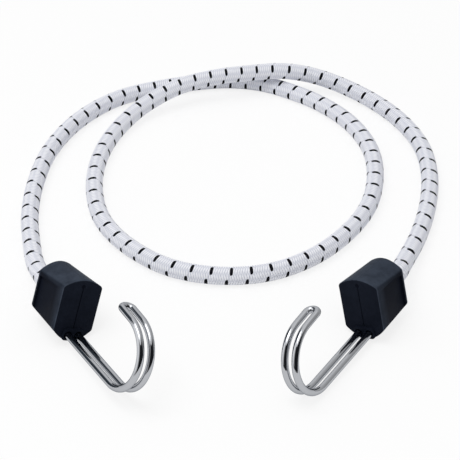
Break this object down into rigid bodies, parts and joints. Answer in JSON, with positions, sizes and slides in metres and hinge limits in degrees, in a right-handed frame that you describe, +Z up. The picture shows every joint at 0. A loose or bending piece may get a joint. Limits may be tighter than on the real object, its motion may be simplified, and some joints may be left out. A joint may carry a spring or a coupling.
{
  "type": "bungee cord",
  "caption": "Elastic cord in a braided sheath, laid in a loose loop, with a moulded cap and a doubled bent-wire hook on each end for strapping loads down.",
  "frame": {"origin": "on the floor, at the bottom centre of the box round the two hooked ends, the cord left out", "axes": "+X from the left end to the right end, +Y from the hooks towards the cord's loop, +Z up from the floor it lies on"},
  "size_m": [0.2177, 0.2919, 0.0407],
  "materials": {
    "cap_plastic": "satin black moulding",
    "hook_wire": "bright plated, mirror polished",
    "ferrule_steel": "plain, crimped",
    "sheath_braid": "white braid with black tracer yarns",
    "core_latex": "natural latex"
  },
  "bodies": {
    "loop": {"sheath_loop": "sheath_braid", "strand_1_loop": "core_latex", "strand_2_loop": "core_latex", "strand_3_loop": "core_latex"},
    "left_lead": {"sheath_left_lead": "sheath_braid", "strand_1_left_lead": "core_latex", "strand_2_left_lead": "core_latex", "strand_3_left_lead": "core_latex"},
    "left_end": {"left_cap_half_pegged": "cap_plastic", "left_cap_half_socketed": "cap_plastic", "left_wire_hook": "hook_wire", "left_cord_ferrule": "ferrule_steel"},
    "right_lead": {"sheath_right_lead": "sheath_braid", "strand_1_right_lead": "core_latex", "strand_2_right_lead": "core_latex", "strand_3_right_lead": "core_latex"},
    "right_end": {"right_cap_half_pegged": "cap_plastic", "right_cap_half_socketed": "cap_plastic", "right_wire_hook": "hook_wire", "right_cord_ferrule": "ferrule_steel"}
  },
  "joints": [
    {"name": "left_stretch", "type": "slide", "parent": "loop", "child": "left_lead", "axis": [0, -1, 0], "range_m": [0, 0.16], "stiffness_N_per_m": 380, "deforming": ["sheath_left_lead", "strand_1_left_lead", "strand_2_left_lead", "strand_3_left_lead"]},
    {"name": "left_flex", "type": "hinge", "parent": "left_lead", "child": "left_end", "pos_m": [-0.0905, 0.0602, 0.0086], "axis": [0, 0, 1], "range_deg": [-50, 10], "stiffness_Nm_per_rad": 0.004, "deforming": ["sheath_left_lead", "strand_1_left_lead", "strand_2_left_lead", "strand_3_left_lead"]},
    {"name": "right_stretch", "type": "slide", "parent": "loop", "child": "right_lead", "axis": [0, -1, 0], "range_m": [0, 0.16], "stiffness_N_per_m": 380, "deforming": ["sheath_right_lead", "strand_1_right_lead", "strand_2_right_lead", "strand_3_right_lead"]},
    {"name": "right_flex", "type": "hinge", "parent": "right_lead", "child": "right_end", "pos_m": [0.09, 0.0607, 0.0088], "axis": [0, 0, -1], "range_deg": [-50, 10], "stiffness_Nm_per_rad": 0.004, "deforming": ["sheath_right_lead", "strand_1_right_lead", "strand_2_right_lead", "strand_3_right_lead"]}
  ]
}
